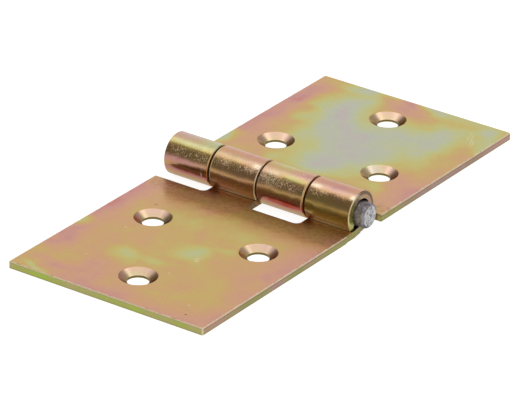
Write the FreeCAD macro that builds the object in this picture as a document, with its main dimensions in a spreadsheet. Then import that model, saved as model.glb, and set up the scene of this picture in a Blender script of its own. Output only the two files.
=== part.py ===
import FreeCAD, Part
import math
import os
import Sketcher

from FreeCAD import Vector

# Construction hinge, folded flat open: two equal sheet leaves stamped and rolled round one round pin.
# X runs along the pin, the front leaf lies towards -Y, the back leaf towards +Y, and Z is up.
# The origin lies under the middle of the pin, on the plane of the leaves' undersides.

# Driving dimensions in millimetres, angles in degrees
SIZES = [
    ("leaf_length", 60.0, "length of a leaf along the pin"),
    ("leaf_reach", 70.0, "pin axis to the outer edge of a leaf"),
    ("sheet_thickness", 2.0, "steel sheet"),
    ("pin_diameter", 6.8, "round wire of the pin"),
    ("pin_clearance", 0.35, "radial play of the pin in the rolled knuckles"),
    ("pin_seat_play", 0.05, "play under the loose pin, which lies low in its bore"),
    ("pin_protrusion", 2.7, "pin past the barrel on the right"),
    ("pin_recess", 0.9, "pin end inside the barrel on the left"),
    ("pin_end_round", 0.65, "worn round on the cropped end that shows"),
    ("pin_lead_in", 0.5, "chamfer on the end that was driven in"),
    ("knuckle_gap", 0.6, "play between two neighbouring knuckles"),
    ("barrel_inset", 0.9, "side edge of a leaf to the end of the barrel"),
    ("tab_inset", 0.35, "side edge of a leaf to the root of its outer tab"),
    ("tab_reach", 7.6, "pin axis to the root of the outer tab"),
    ("tab_taper_length", 3.5, "stretch of the outer tab that narrows towards the pin"),
    ("open_slot_clearance", 2.55, "barrel to the edge of the slot at a leaf's side"),
    ("closed_slot_clearance", 3.5, "barrel to the edge of the slot between two knuckles"),
    ("slot_relief", 0.7, "how far a slot in the flat sheet runs past the end of the next knuckle"),
    ("relief_reach", 4.2, "pin axis to where that relief narrows again, under the barrel"),
    ("slot_round_wide", 1.7, "slot corner on the side of the outer knuckle"),
    ("slot_round_tight", 0.3, "the other corner of the closed slot"),
    ("lip_gap", 0.1, "rolled end to the upper face of its leaf"),
    ("lip_rise", 1.5, "height above the leaf where the lip leaves the round of the barrel"),
    ("lip_set_in", 1.0, "barrel's front to the outer edge of the lip's tip"),
    ("lip_land", 1.1, "flat tip of the rolled end"),
    ("lip_root", 1.45, "height above the leaf where the lip leaves the bore"),
    ("hole_diameter", 5.8, "screw hole"),
    ("sink_diameter", 10.1, "countersink at the upper face"),
    ("sink_angle", 114.0, "full angle of the countersink cone"),
    ("hole_spacing", 33.0, "side of the even triangle of screw holes"),
    ("hole_row", 28.3, "pin axis to the row of two holes"),
    ("hole_shift", 0.65, "hole group off the middle, towards the outer knuckle"),
    ("rim_round", 0.3, "pressed rim of a countersink"),
    ("corner_round", 0.4, "outer corners of a leaf"),
    ("edge_break", 0.2, "rolled-over upper edges and knuckle ends"),
    ("burr_break", 0.1, "lower edges of a leaf"),
]

# Lengths worked out from the sheet, written as expressions
BORE_RADIUS = "(Sizes.pin_diameter / 2 + Sizes.pin_clearance)"
BARREL_RADIUS = "(Sizes.pin_diameter / 2 + Sizes.pin_clearance + Sizes.sheet_thickness)"
OPEN_EDGE = "(" + BARREL_RADIUS + " + Sizes.open_slot_clearance)"
CLOSED_EDGE = "(" + BARREL_RADIUS + " + Sizes.closed_slot_clearance)"
HALF_LENGTH = "(Sizes.leaf_length / 2)"
QUARTER_LENGTH = "(Sizes.leaf_length / 4)"
HALF_GAP = "(Sizes.knuckle_gap / 2)"
BARREL_END = "(Sizes.leaf_length / 2 - Sizes.barrel_inset)"
PIN_HEIGHT = "(Sizes.pin_diameter / 2 + Sizes.sheet_thickness + Sizes.pin_seat_play)"

# How far a cutting outline runs past the metal that it cuts, and into a neighbouring cut
CUT_MARGIN = 3.0
CUT_OVERLAP = 1.0
# Two lengths closer than this are the same
CLOSE = 1e-4

doc = FreeCAD.newDocument("construction_hinge")


def make_sheet():
    """The spreadsheet of driving dimensions: name, value and meaning in each row."""
    sheet = doc.addObject("Spreadsheet::Sheet", "Sizes")
    for row, (name, value, meaning) in enumerate(SIZES, start=1):
        sheet.set(f"A{row}", name)
        sheet.set(f"B{row}", str(value))
        sheet.set(f"C{row}", meaning)
        sheet.setAlias(f"B{row}", name)
    doc.recompute()
    return sheet


sheet = make_sheet()


def size(name):
    """A driving dimension's present value."""
    return float(sheet.get(name))


def bore_radius():
    return size("pin_diameter") / 2 + size("pin_clearance")


def barrel_radius():
    return bore_radius() + size("sheet_thickness")


def open_slot_edge():
    return barrel_radius() + size("open_slot_clearance")


def closed_slot_edge():
    return barrel_radius() + size("closed_slot_clearance")


def barrel_end():
    return size("leaf_length") / 2 - size("barrel_inset")


def add_sketch(body, name, role, height=None):
    """A sketch on one of the body's own origin planes, raised by an expression where one is given."""
    plane = next(f for f in body.Origin.OriginFeatures if f.Role == role)
    sketch = body.newObject("Sketcher::SketchObject", name)
    sketch.AttachmentSupport = (plane, "")
    sketch.MapMode = "FlatFace"
    if height is not None:
        sketch.setExpression("AttachmentOffset.Base.z", height)
    return sketch


def bind(sketch, constraint, name, expression):
    """Adds a constraint and ties its value to the sheet."""
    index = sketch.addConstraint(constraint)
    sketch.renameConstraint(index, name)
    sketch.setExpression("Constraints." + name, expression)


def tie(sketch, ties):
    """Ties the starts of lines, by their distances from the origin, to the sheet."""
    for kind, line, value, name, expression in ties:
        bind(sketch, Sketcher.Constraint(kind, -1, 1, line, 1, value), name, expression)


def add_loop(sketch, points):
    """A closed outline of straight lines, joined at its corners. Returns its line numbers."""
    count = len(points)
    lines = []
    for i in range(count):
        line = Part.LineSegment(Vector(*points[i], 0), Vector(*points[(i + 1) % count], 0))
        lines.append(sketch.addGeometry(line, False))
    for i in range(count):
        sketch.addConstraint(Sketcher.Constraint("Coincident", lines[i], 2, lines[(i + 1) % count], 1))
    return lines


def add_rectangle(sketch, name, x_range, y_range, expressions):
    """An upright rectangle with its four sides tied to expressions for left, right, bottom and top."""
    (left, right), (bottom, top) = x_range, y_range
    lines = add_loop(sketch, [(left, bottom), (right, bottom), (right, top), (left, top)])
    for i, kind in enumerate(["Horizontal", "Vertical", "Horizontal", "Vertical"]):
        sketch.addConstraint(Sketcher.Constraint(kind, lines[i]))
    sides = [("left", "DistanceX", 0, left), ("bottom", "DistanceY", 0, bottom)]
    sides += [("right", "DistanceX", 2, right), ("top", "DistanceY", 2, top)]
    tie(sketch, [(kind, lines[i], at, f"{name}_{side}", expressions[side]) for side, kind, i, at in sides])


def curl_profile(body):
    """The bent sheet seen along the pin: flat leaf, rolled knuckle and the straight lip at its free end."""
    sheet_t = size("sheet_thickness")
    inner = bore_radius()
    outer = barrel_radius()
    reach = size("leaf_reach")
    centre = Vector(0, outer, 0)
    lip_top = sheet_t + size("lip_rise")
    lip_foot = sheet_t + size("lip_gap")
    lip_root = sheet_t + size("lip_root")

    # The lip runs straight down from the round of the barrel and from the bore, and narrows to its tip
    tip_out = Vector(size("lip_set_in") - outer, lip_foot, 0)
    tip_in = Vector(tip_out.x + size("lip_land"), lip_foot, 0)
    front_angle = math.pi + math.asin((outer - lip_top) / outer)
    front_top = Vector(outer * math.cos(front_angle), lip_top, 0)
    root_angle = math.pi + math.asin((outer - lip_root) / inner)
    root = Vector(inner * math.cos(root_angle), lip_root, 0)

    sketch = add_sketch(body, "curl_profile", "YZ_Plane")
    up = Vector(0, 0, 1)
    outlines = [
        Part.LineSegment(Vector(-reach, 0, 0), Vector(0, 0, 0)),
        Part.ArcOfCircle(Part.Circle(centre, up, outer), -math.pi / 2, front_angle),
        Part.LineSegment(front_top, tip_out),
        Part.LineSegment(tip_out, tip_in),
        Part.LineSegment(tip_in, root),
        Part.ArcOfCircle(Part.Circle(centre, up, inner), -math.pi / 2, root_angle),
        Part.LineSegment(Vector(0, sheet_t, 0), Vector(-reach, sheet_t, 0)),
        Part.LineSegment(Vector(-reach, sheet_t, 0), Vector(-reach, 0, 0)),
    ]
    under, roll, front, tip, inside, bore, over, edge = [sketch.addGeometry(o, False) for o in outlines]

    # The sheet stays tangent where it starts to roll
    joints = [("Tangent", under, 2, roll, 1), ("Coincident", roll, 2, front, 1)]
    joints += [("Coincident", front, 2, tip, 1), ("Coincident", tip, 2, inside, 1)]
    joints += [("Coincident", inside, 2, bore, 2), ("Tangent", bore, 1, over, 1)]
    joints += [("Coincident", over, 2, edge, 1), ("Coincident", edge, 2, under, 1)]
    joints += [("Coincident", roll, 3, bore, 3), ("Coincident", under, 2, -1, 1)]
    joints += [("Horizontal", under), ("Horizontal", over), ("Horizontal", tip), ("Vertical", edge)]
    for joint in joints:
        sketch.addConstraint(Sketcher.Constraint(*joint))
    constraint = Sketcher.Constraint
    bind(sketch, constraint("DistanceX", under, 1, under, 2, reach), "reach", "Sizes.leaf_reach")
    bind(sketch, constraint("DistanceY", edge, 2, edge, 1, sheet_t), "thickness", "Sizes.sheet_thickness")
    bind(sketch, constraint("Radius", bore, inner), "bore_radius", BORE_RADIUS)
    lip_top_rule = "Sizes.sheet_thickness + Sizes.lip_rise"
    bind(sketch, constraint("DistanceY", -1, 1, roll, 2, lip_top), "lip_top", lip_top_rule)
    lip_foot_rule = "Sizes.sheet_thickness + Sizes.lip_gap"
    bind(sketch, constraint("DistanceY", -1, 1, tip, 1, lip_foot), "lip_foot", lip_foot_rule)
    bind(sketch, constraint("DistanceX", tip, 1, tip, 2, size("lip_land")), "lip_land", "Sizes.lip_land")
    tip_rule = BARREL_RADIUS + " - Sizes.lip_set_in"
    bind(sketch, constraint("DistanceX", tip, 1, -1, 1, -tip_out.x), "lip_tip", tip_rule)
    root_rule = "Sizes.sheet_thickness + Sizes.lip_root"
    bind(sketch, constraint("DistanceY", -1, 1, bore, 2, lip_root), "lip_root", root_rule)
    return sketch


def slot_outlines(body):
    """Plan of what is cut from the rolled strip: two slots for the other leaf and the tapered outer tab."""
    half = size("leaf_length") / 2
    quarter = size("leaf_length") / 4
    half_gap = size("knuckle_gap") / 2
    high = barrel_radius() + CUT_MARGIN
    outside = half + CUT_MARGIN
    sketch = add_sketch(body, "slot_outlines", "XY_Plane")
    top = {"top": f"{BARREL_RADIUS} + {CUT_MARGIN}"}
    open_sides = {"left": f"-({HALF_LENGTH} + {CUT_MARGIN})", "right": f"{HALF_GAP} - {QUARTER_LENGTH}"}
    open_sides["bottom"] = "-" + OPEN_EDGE
    open_range = (-outside, half_gap - quarter)
    add_rectangle(sketch, "open_slot", open_range, (-open_slot_edge(), high), open_sides | top)
    closed_sides = {"left": "-" + HALF_GAP, "right": f"{QUARTER_LENGTH} + {HALF_GAP}"}
    closed_sides["bottom"] = "-" + CLOSED_EDGE
    closed_range = (-half_gap, quarter + half_gap)
    add_rectangle(sketch, "closed_slot", closed_range, (-closed_slot_edge(), high), closed_sides | top)

    # The outer tab keeps the leaf's width at its root and narrows to the end of the barrel
    root = half - size("tab_inset")
    low = -size("tab_reach")
    taper = -size("tab_taper_length")
    end = barrel_end()
    points = [(root, low), (outside, low), (outside, high), (end, high), (end, 0), (root, taper)]
    lines = add_loop(sketch, points)
    for i, kind in [(0, "Horizontal"), (1, "Vertical"), (2, "Horizontal"), (3, "Vertical"), (5, "Vertical")]:
        sketch.addConstraint(Sketcher.Constraint(kind, lines[i]))
    ties = [
        ("DistanceX", lines[0], root, "tab_root", f"{HALF_LENGTH} - Sizes.tab_inset"),
        ("DistanceY", lines[0], low, "tab_low", "-Sizes.tab_reach"),
        ("DistanceX", lines[2], outside, "tab_outside", f"{HALF_LENGTH} + {CUT_MARGIN}"),
        ("DistanceY", lines[2], high, "tab_high", f"{BARREL_RADIUS} + {CUT_MARGIN}"),
        ("DistanceX", lines[4], end, "tab_end", BARREL_END),
        ("DistanceY", lines[5], taper, "tab_taper", "-Sizes.tab_taper_length"),
    ]
    tie(sketch, ties)
    sketch.addConstraint(Sketcher.Constraint("PointOnObject", lines[4], 1, -1))
    return sketch


def relief_outlines(body):
    """Plan of what each slot takes from the flat sheet past the end of the next knuckle."""
    quarter = size("leaf_length") / 4
    half_gap = size("knuckle_gap") / 2
    relief = size("slot_relief")
    narrow = -size("relief_reach")
    slots = [
        ("open", half_gap - quarter, f"{HALF_GAP} - {QUARTER_LENGTH}", -open_slot_edge(), OPEN_EDGE),
        ("closed", quarter + half_gap, f"{QUARTER_LENGTH} + {HALF_GAP}", -closed_slot_edge(), CLOSED_EDGE),
    ]
    sketch = add_sketch(body, "relief_outlines", "XY_Plane")
    for name, end, end_rule, low, low_rule in slots:
        inside = end - CUT_OVERLAP
        side = end + relief
        back = narrow + relief
        lines = add_loop(sketch, [(inside, low), (side, low), (side, narrow), (end, back), (inside, back)])
        for i, kind in [(0, "Horizontal"), (1, "Vertical"), (3, "Horizontal"), (4, "Vertical")]:
            sketch.addConstraint(Sketcher.Constraint(kind, lines[i]))
        ties = [
            ("DistanceX", lines[0], inside, name + "_inside", f"{end_rule} - {CUT_OVERLAP}"),
            ("DistanceY", lines[0], low, name + "_low", "-" + low_rule),
            ("DistanceX", lines[1], side, name + "_side", end_rule + " + Sizes.slot_relief"),
            ("DistanceY", lines[2], narrow, name + "_narrow", "-Sizes.relief_reach"),
            ("DistanceX", lines[3], end, name + "_end", end_rule),
            ("DistanceY", lines[3], back, name + "_back", "Sizes.slot_relief - Sizes.relief_reach"),
        ]
        tie(sketch, ties)
    return sketch


def barrel_end_outline(body):
    """Plan of the strip taken off the rolled part, above the flat sheet, to set the barrel's end back."""
    half = size("leaf_length") / 2
    reach = barrel_radius() + CUT_MARGIN
    sketch = add_sketch(body, "barrel_end_outline", "XY_Plane", "Sizes.sheet_thickness")
    sides = {"left": BARREL_END, "right": f"{HALF_LENGTH} + {CUT_MARGIN}"}
    sides["bottom"] = f"-({BARREL_RADIUS} + {CUT_MARGIN})"
    sides["top"] = f"{BARREL_RADIUS} + {CUT_MARGIN}"
    add_rectangle(sketch, "barrel_end", (barrel_end(), half + CUT_MARGIN), (-reach, reach), sides)
    return sketch


def cut_upwards(body, sketch, name, depth=None):
    """A pocket from the sketch up through everything, or as deep as is given. It has to take metal away."""
    before = body.Shape.Volume
    pocket = body.newObject("PartDesign::Pocket", name)
    pocket.Profile = sketch
    pocket.Type = "ThroughAll" if depth is None else "Length"
    if depth is not None:
        pocket.setExpression("Length", depth)
    pocket.Reversed = True
    doc.recompute()
    if body.Shape.Volume > before - CLOSE:
        raise ValueError(name + " cuts nothing")
    return pocket


def hole_centres():
    """The three screw holes: two in the row near the pin and one further out, in an even triangle."""
    spacing = size("hole_spacing")
    shift = size("hole_shift")
    near = -size("hole_row")
    far = near - spacing * math.sqrt(3) / 2
    return [(shift - spacing / 2, near), (shift + spacing / 2, near), (shift, far)]


def screw_holes(body):
    """Three countersunk screw holes, from circles drawn on the leaf's upper face."""
    sketch = add_sketch(body, "screw_hole_centres", "XY_Plane", "Sizes.sheet_thickness")
    radius = size("hole_diameter") / 2
    row = "-Sizes.hole_row"
    far_row = "-(Sizes.hole_row + Sizes.hole_spacing * sqrt(3) / 2)"
    rules = [
        ("Sizes.hole_shift - Sizes.hole_spacing / 2", row),
        ("Sizes.hole_shift + Sizes.hole_spacing / 2", row),
        ("Sizes.hole_shift", far_row),
    ]
    for i, ((x, y), (x_rule, y_rule)) in enumerate(zip(hole_centres(), rules)):
        circle = sketch.addGeometry(Part.Circle(Vector(x, y, 0), Vector(0, 0, 1), radius), False)
        bind(sketch, Sketcher.Constraint("Radius", circle, radius), f"radius_{i}", "Sizes.hole_diameter / 2")
        bind(sketch, Sketcher.Constraint("DistanceX", -1, 1, circle, 3, x), f"across_{i}", x_rule)
        bind(sketch, Sketcher.Constraint("DistanceY", -1, 1, circle, 3, y), f"along_{i}", y_rule)
    doc.recompute()
    before = body.Shape.Volume
    hole = body.newObject("PartDesign::Hole", "screw_holes")
    hole.Profile = sketch
    hole.ThreadType = "None"
    hole.DepthType = "ThroughAll"
    hole.HoleCutType = "Countersink"
    hole.HoleCutCustomValues = True
    hole.setExpression("Diameter", "Sizes.hole_diameter")
    hole.setExpression("HoleCutDiameter", "Sizes.sink_diameter")
    hole.setExpression("HoleCutCountersinkAngle", "Sizes.sink_angle")
    doc.recompute()
    if body.Shape.Volume > before - CLOSE:
        raise ValueError("the screw holes cut nothing")
    return hole


def upright_edges(shape, places):
    """Names of the edges that stand upright at the given (x, y) places."""
    names = []
    for number, edge in enumerate(shape.Edges, start=1):
        box = edge.BoundBox
        if box.XLength > CLOSE or box.YLength > CLOSE:
            continue
        if any(abs(box.XMin - x) < CLOSE and abs(box.YMin - y) < CLOSE for x, y in places):
            names.append(f"Edge{number}")
    return names


def circles_at(shape, radius, height):
    """Names of the level full circles of this radius at this height."""
    names = []
    for number, edge in enumerate(shape.Edges, start=1):
        curve = edge.Curve
        if not isinstance(curve, Part.Circle) or abs(curve.Radius - radius) > CLOSE:
            continue
        if edge.BoundBox.ZLength < CLOSE and abs(edge.BoundBox.ZMin - height) < CLOSE:
            names.append(f"Edge{number}")
    return names


def flat_outline(shape, height):
    """Names of the level edges along a leaf's two sides and its outer edge, with the corners between."""
    side = size("leaf_length") / 2 - size("corner_round") - CLOSE
    outer_row = size("corner_round") - size("leaf_reach") + CLOSE
    tab_root = -size("tab_reach")
    names = []
    for number, edge in enumerate(shape.Edges, start=1):
        box = edge.BoundBox
        if edge.Closed or box.ZLength > CLOSE or abs(box.ZMin - height) > CLOSE:
            continue
        on_side = min(abs(box.XMin), abs(box.XMax)) > side and box.YMax < tab_root + CLOSE
        if box.YMax < outer_row or (on_side and box.YLength > CLOSE):
            names.append(f"Edge{number}")
    return names


def knuckle_end_edges(shape):
    """Names of the outer circular edges at the ends of the knuckles."""
    names = []
    for number, edge in enumerate(shape.Edges, start=1):
        curve = edge.Curve
        if not isinstance(curve, Part.Circle) or abs(curve.Radius - barrel_radius()) > CLOSE:
            continue
        if edge.BoundBox.XLength < CLOSE:
            names.append(f"Edge{number}")
    return names


def work_edges(body, kind, name, edge_names, size_name):
    """A fillet or a chamfer on the named edges of the body's newest shape."""
    if not edge_names:
        raise ValueError(name + " finds no edge")
    tip = body.Tip
    worked = body.newObject("PartDesign::" + kind, name)
    worked.Base = (tip, edge_names)
    worked.setExpression({"Fillet": "Radius", "Chamfer": "Size"}[kind], "Sizes." + size_name)
    doc.recompute()
    return worked


def make_leaf(name):
    """One stamped leaf: sheet and knuckles in one piece, with slots, screw holes and worked edges."""
    body = doc.addObject("PartDesign::Body", name)
    body.Label = name
    profile = curl_profile(body)
    strip = body.newObject("PartDesign::Pad", "rolled_strip")
    strip.Profile = profile
    strip.SideType = "Symmetric"
    strip.setExpression("Length", "Sizes.leaf_length")
    doc.recompute()

    cut_upwards(body, slot_outlines(body), "slots")
    cut_upwards(body, relief_outlines(body), "slot_reliefs", "Sizes.sheet_thickness")
    cut_upwards(body, barrel_end_outline(body), "barrel_end")
    screw_holes(body)

    half = size("leaf_length") / 2
    quarter = size("leaf_length") / 4
    half_gap = size("knuckle_gap") / 2
    relief = size("slot_relief")
    wide = [(half_gap - quarter + relief, -open_slot_edge())]
    wide.append((quarter + half_gap + relief, -closed_slot_edge()))
    tight = [(-half_gap, -closed_slot_edge())]
    outer = [(half, -size("leaf_reach")), (-half, -size("leaf_reach"))]
    work_edges(body, "Fillet", "wide_slot_corners", upright_edges(body.Shape, wide), "slot_round_wide")
    work_edges(body, "Fillet", "tight_slot_corner", upright_edges(body.Shape, tight), "slot_round_tight")
    work_edges(body, "Fillet", "outer_corners", upright_edges(body.Shape, outer), "corner_round")
    thickness = size("sheet_thickness")
    rims = circles_at(body.Shape, size("sink_diameter") / 2, thickness)
    work_edges(body, "Fillet", "pressed_rims", rims, "rim_round")
    work_edges(body, "Chamfer", "knuckle_ends", knuckle_end_edges(body.Shape), "edge_break")
    work_edges(body, "Chamfer", "upper_edges", flat_outline(body.Shape, thickness), "edge_break")
    work_edges(body, "Chamfer", "lower_edges", flat_outline(body.Shape, 0.0), "burr_break")
    return body


def make_front_leaf():
    """The leaf towards -Y, with the second and fourth knuckles."""
    return make_leaf("front_leaf")


def make_back_leaf():
    """The same stamping turned half round the upright axis, with the first and third knuckles."""
    body = make_leaf("back_leaf")
    body.Placement = FreeCAD.Placement(Vector(0, 0, 0), FreeCAD.Rotation(Vector(0, 0, 1), 180))
    return body


def end_circle(shape, x):
    """Name of the closed edge that stands across the pin at x."""
    numbered = enumerate(shape.Edges, start=1)
    return [f"Edge{n}" for n, e in numbered if e.Closed and abs(e.BoundBox.Center.x - x) < CLOSE]


def make_pin():
    """The loose round pin, cropped from wire: it stands out of the barrel on the right."""
    body = doc.addObject("PartDesign::Body", "hinge_pin")
    body.Label = "hinge_pin"
    radius = size("pin_diameter") / 2
    height = radius + size("sheet_thickness") + size("pin_seat_play")
    sketch = add_sketch(body, "pin_section", "YZ_Plane")
    centre = Vector(0, height, 0)
    circle = sketch.addGeometry(Part.Circle(centre, Vector(0, 0, 1), radius), False)
    bind(sketch, Sketcher.Constraint("Radius", circle, radius), "radius", "Sizes.pin_diameter / 2")
    bind(sketch, Sketcher.Constraint("DistanceY", -1, 1, circle, 3, height), "height", PIN_HEIGHT)
    sketch.addConstraint(Sketcher.Constraint("PointOnObject", circle, 3, -2))
    wire = body.newObject("PartDesign::Pad", "pin_wire")
    wire.Profile = sketch
    wire.SideType = "Two sides"
    wire.setExpression("Length", BARREL_END + " + Sizes.pin_protrusion")
    wire.setExpression("Length2", BARREL_END + " - Sizes.pin_recess")
    doc.recompute()

    driven = end_circle(body.Shape, size("pin_recess") - barrel_end())
    work_edges(body, "Chamfer", "lead_in", driven, "pin_lead_in")
    shown = end_circle(body.Shape, barrel_end() + size("pin_protrusion"))
    work_edges(body, "Fillet", "cropped_end", shown, "pin_end_round")
    return body


def check(parts):
    """Stops with a plain message if any object failed or a sub-part isn't one sound solid."""
    for item in doc.Objects:
        if "Invalid" in item.State or "Error" in item.State:
            raise ValueError(item.Name + " failed")
    for part in parts:
        shape = part.Shape
        if shape.isNull() or not shape.isValid() or len(shape.Solids) != 1:
            raise ValueError(part.Label + " is not one sound solid")


def main():
    parts = [make_front_leaf(), make_back_leaf(), make_pin()]
    doc.recompute()
    check(parts)
    os.makedirs("parts", exist_ok=True)
    for part in parts:
        part.Shape.exportStep(f"parts/{part.Label}.step")
        print(part.Label, "volume", round(part.Shape.Volume, 2), "mm3")


main()
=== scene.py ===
import math

import bpy
from mathutils import Matrix, Vector


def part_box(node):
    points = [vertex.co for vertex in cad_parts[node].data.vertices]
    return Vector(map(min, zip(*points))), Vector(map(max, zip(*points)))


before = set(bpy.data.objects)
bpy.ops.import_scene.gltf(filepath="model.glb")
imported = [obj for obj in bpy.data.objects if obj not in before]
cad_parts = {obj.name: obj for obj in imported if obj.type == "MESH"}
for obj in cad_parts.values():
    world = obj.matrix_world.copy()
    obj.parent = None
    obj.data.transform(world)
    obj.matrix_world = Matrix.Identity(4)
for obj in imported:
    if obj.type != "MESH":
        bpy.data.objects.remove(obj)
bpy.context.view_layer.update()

# A construction hinge of yellow-passivated sheet steel on a bare wire pin, lying flat open.
# The frame is in metres. Places and patterns in the materials are in millimetres.
MM = 0.001
PER_MM = 1 / MM

# The photograph's camera. Its direction from the hinge and its roll are in degrees, its distance and target
# in metres, and its lens and sensor in millimetres.
CAMERA_AZIMUTH = 34.69
CAMERA_ELEVATION = 26.39
CAMERA_ROLL = 1.20
CAMERA_DISTANCE = 1.185
CAMERA_TARGET = Vector((0.0006, -0.0041, 0.0))
LENS = 318.3
SENSOR_WIDTH = 36.0

# Leaves, knuckles and pin in millimetres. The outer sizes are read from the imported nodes.
BARREL_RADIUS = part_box("front_leaf")[1].z / 2 * PER_MM
LEAF_REACH = -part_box("front_leaf")[0].y * PER_MM
LEAF_HALF_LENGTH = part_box("front_leaf")[1].x * PER_MM
SHEET_THICKNESS = 2.0
KNUCKLE_PITCH = 14.7
KNUCKLE_GAP = 0.6
LAST_KNUCKLE_END = 2 * KNUCKLE_PITCH - KNUCKLE_GAP / 2
PIN_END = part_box("hinge_pin")[1].x * PER_MM
PIN_HEIGHT = 5.45
PIN_FLAT_RADIUS = 2.75


def colour(hex_code):
    """A written sRGB colour such as #c9a06e as the linear colour that a shader takes."""
    channels = [int(hex_code[i:i + 2], 16) / 255 for i in (1, 3, 5)]
    linear = [c / 12.92 if c <= 0.04045 else ((c + 0.055) / 1.055) ** 2.4 for c in channels]
    return (*linear, 1.0)


def add(tree, kind, inputs=None, bands=None, **settings):
    """A shader node with its settings, ramp bands and inputs: plain values, or nodes and sockets to link."""
    made = tree.nodes.new("ShaderNode" + kind)
    for name, value in settings.items():
        setattr(made, name, value)
    for socket, value in (inputs or {}).items():
        if isinstance(value, bpy.types.Node):
            value = value.outputs[0]
        if isinstance(value, bpy.types.NodeSocket):
            tree.links.new(value, made.inputs[socket])
        else:
            made.inputs[socket].default_value = value
    for index, (place, hex_code) in enumerate(bands or []):
        stops = made.color_ramp.elements
        if index == 0:
            stop = stops[0]
        elif index == len(bands) - 1:
            stop = stops[-1]
        else:
            stop = stops.new(place)
        stop.position = place
        stop.color = colour(hex_code)
    return made


def overlap(tree, mask, *others, **settings):
    """Where every one of some masks holds: their product."""
    for other in others:
        mask = add(tree, "Math", {0: mask, 1: other}, operation="MULTIPLY", **settings)
    return mask


def union(tree, mask, *others, **settings):
    """Where at least one of some masks holds: the largest of them."""
    for other in others:
        mask = add(tree, "Math", {0: mask, 1: other}, operation="MAXIMUM", **settings)
    return mask


def painted(tree, tint, layers):
    """A tint with colours laid over it in turn, each as far as its mask says."""
    for mask, paint in layers:
        over = colour(paint) if isinstance(paint, str) else paint
        tint = add(tree, "Mix", {0: mask, 6: tint, 7: over}, data_type="RGBA").outputs[2]
    return tint


def new_material(name):
    """An empty node material. Returns it with its tree."""
    material = bpy.data.materials.new(name)
    material.use_nodes = True
    material.node_tree.nodes.clear()
    return material, material.node_tree


def place_in_mm(tree):
    """The point on the object, in millimetres in the hinge's own frame."""
    place = add(tree, "TexCoord").outputs["Object"]
    return add(tree, "VectorMath", {0: place, 3: PER_MM}, operation="SCALE")


def window(tree, value, start, end, soft):
    """1 where a value lies between two bounds and 0 beyond them, with borders as soft as stated."""
    rise = add(tree, "MapRange", {"Value": value, "From Min": start - soft, "From Max": start},
               interpolation_type="SMOOTHSTEP")
    fall = add(tree, "MapRange", {"Value": value, "From Min": end + soft, "From Max": end},
               interpolation_type="SMOOTHSTEP")
    return overlap(tree, rise, fall)


def oval_patches(tree, place, patches):
    """Soft ovals added up. Each has a name, its centre, half sizes, turn in degrees, and what it adds in its
    middle. They reach right through the hinge, so that only their outline counts."""
    through = 1000
    total = None
    for name, centre, half, turn, gain in patches:
        settings = {"Vector": place, "Location": (*centre, 0), "Rotation": (0, 0, math.radians(turn))}
        settings["Scale"] = (*half, through)
        oval = add(tree, "Mapping", settings, vector_type="TEXTURE", label=name)
        ball = add(tree, "TexGradient", {"Vector": oval}, gradient_type="SPHERICAL")
        soft = add(tree, "MapRange", {"Value": ball.outputs["Fac"], "To Max": gain},
                   interpolation_type="SMOOTHSTEP")
        total = soft if total is None else add(tree, "Math", {0: total, 1: soft}, operation="ADD")
    return total


# Interference colours of the passivation film, from the thinnest to the thickest
FILM_COLOURS = [
    (0.00, "#aa3000"),
    (0.10, "#bc6858"),
    (0.20, "#c28880"),
    (0.31, "#c89576"),
    (0.42, "#c69c68"),
    (0.52, "#c2a55f"),
    (0.62, "#bfb266"),
    (0.73, "#b8b87d"),
    (0.84, "#b4b698"),
    (0.93, "#b3b3a1"),
    (1.00, "#b6aca6"),
]

# Where the film is thicker or thinner than its usual thickness, over the upper faces of the leaves, in mm
FRONT_LEAF_FILM = [
    ("gold_middle", (2, -32), (26, 36), 0, 0.11),
    ("gold_low_middle", (1, -48), (7, 4), 0, 0.16),
    ("green_by_left_slot", (-9, -23), (11, 8), 0, 0.14),
    ("green_in_middle", (4, -39), (8, 6.5), 0, 0.22),
    ("green_left_of_middle", (-9, -49), (9, 6), -15, 0.22),
    ("gold_right_of_rose", (12, -34), (6, 5), 0, 0.18),
    ("gold_at_outer_left", (-28, -59), (7, 6), 20, 0.14),
    ("green_left_edge", (-30, -43), (5, 6), 0, 0.50),
    ("tan_right_spot", (31, -37), (4, 6), 0, 0.14),
    ("green_corner_left", (-22, -69.5), (8, 2.0), 0, 0.38),
    ("mauve_corner_left", (-22, -64), (8, 4), 0, -0.16),
    ("gold_right_of_middle", (16, -58), (14, 10), 0, 0.07),
    ("green_at_right_side", (28, -43), (5, 4), 0, 0.14),
    ("rose_by_left_hole", (1, -31), (8, 6), 0, -0.16),
    ("mauve_left", (-29, -50), (9, 10), 0, -0.20),
    ("rose_left_side", (-32, -26), (11, 32), 0, -0.26),
    ("rose_right_side", (32, -32), (14, 44), 0, -0.21),
    ("rose_outer_right", (31, -62), (9, 12), 0, -0.14),
    ("tan_outer_left", (-9, -60), (16, 10), 0, -0.12),
    ("rose_outer_end", (4, -72), (36, 9), 0, -0.20),
]
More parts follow.
